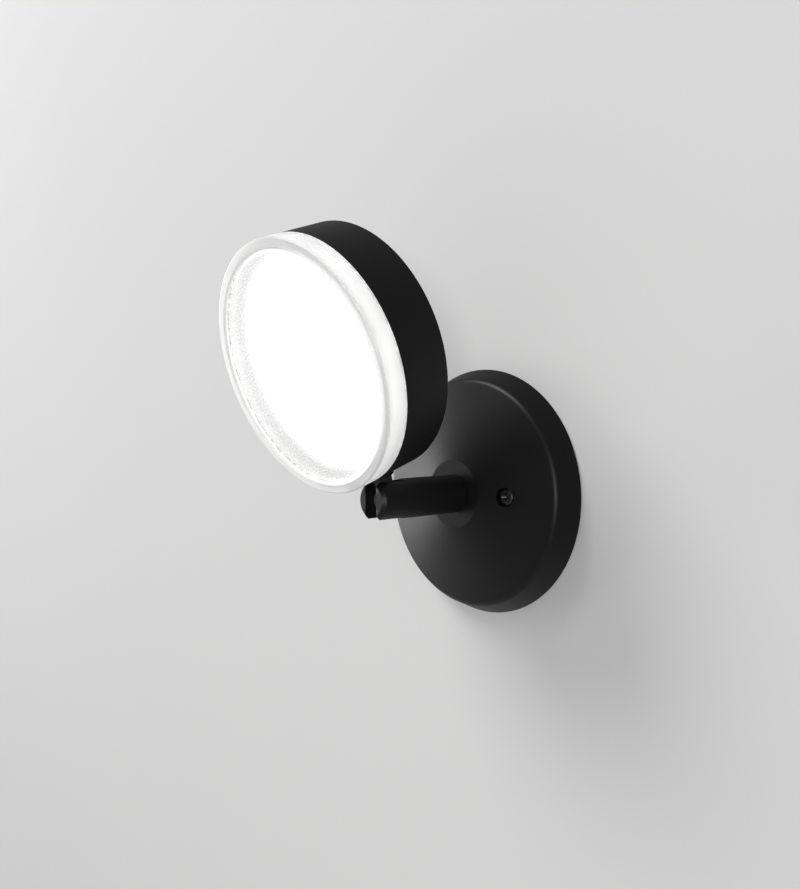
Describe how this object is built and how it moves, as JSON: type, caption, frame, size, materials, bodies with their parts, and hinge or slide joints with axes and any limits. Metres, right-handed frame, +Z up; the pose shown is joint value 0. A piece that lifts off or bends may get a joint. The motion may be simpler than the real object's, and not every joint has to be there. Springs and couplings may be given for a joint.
{
  "type": "pivoting spotlight wall light",
  "caption": "Black wall spotlight: round domed canopy, short forked arm that swivels in it, and a flat round LED head with a frosted acrylic lens that tilts in the fork.",
  "frame": {"origin": "on the wall plane, at the centre of the canopy and of the two wall-screw slots in the bracket", "axes": "+Y into the wall, so the light stands out along -Y; +Z up; +X to the right as seen from the room"},
  "size_m": [0.1, 0.1069, 0.1486],
  "materials": {
    "coated_canopy": "matte",
    "coated_arm": "matte",
    "coated_head": "matte",
    "black_steel": "satin",
    "zinc_steel": "satin",
    "brass_terminal": "satin",
    "terminal_plastic": "matte",
    "black_rubber": "matte",
    "clear_silicone": "satin",
    "nylon": "satin",
    "brown_lead": "satin",
    "grey_lead": "satin",
    "white_lead": "satin",
    "thermal_grey": "matte",
    "board_white": "satin",
    "led_phosphor": "satin",
    "chip_black": "matte",
    "reflector_white": "matte",
    "opal_diffuser": "matte",
    "frosted_acrylic": "satin"
  },
  "bodies": {
    "wall_mount": {"wall_bracket": "zinc_steel", "cable_grommet": "black_rubber", "terminal_block": "terminal_plastic", "terminal_screws": "brass_terminal", "earth_tag": "brass_terminal", "earth_screw": "zinc_steel", "supply_leads": "brown_lead", "canopy": "coated_canopy", "canopy_screws": "black_steel", "swivel_bush": "nylon", "stop_pin": "zinc_steel"},
    "arm": {"stop_washer": "zinc_steel", "spring_washer": "zinc_steel", "lock_nut": "zinc_steel", "threaded_nipple": "zinc_steel", "arm": "coated_arm", "pivot_screw": "black_steel", "pivot_washers": "nylon", "arm_lead": "grey_lead"},
    "head": {"knuckle": "black_steel", "head_housing": "coated_head", "stem_lock_screw": "zinc_steel", "thermal_pad": "thermal_grey", "led_board": "board_white", "led_chips": "led_phosphor", "driver_chips": "chip_black", "lead_connector": "terminal_plastic", "board_screws": "zinc_steel", "head_lead": "white_lead", "reflector": "reflector_white", "diffuser": "opal_diffuser", "lens_gasket": "clear_silicone", "lens": "frosted_acrylic"}
  },
  "joints": [
    {"name": "arm_swivel", "type": "hinge", "parent": "wall_mount", "child": "arm", "pos_m": [0, 0, 0], "axis": [0, 1, 0], "range_deg": [-165, 165]},
    {"name": "head_tilt", "type": "hinge", "parent": "arm", "child": "head", "pos_m": [0, -0.0515, 0], "axis": [1, 0, 0], "range_deg": [-39.2, 70.8]}
  ]
}
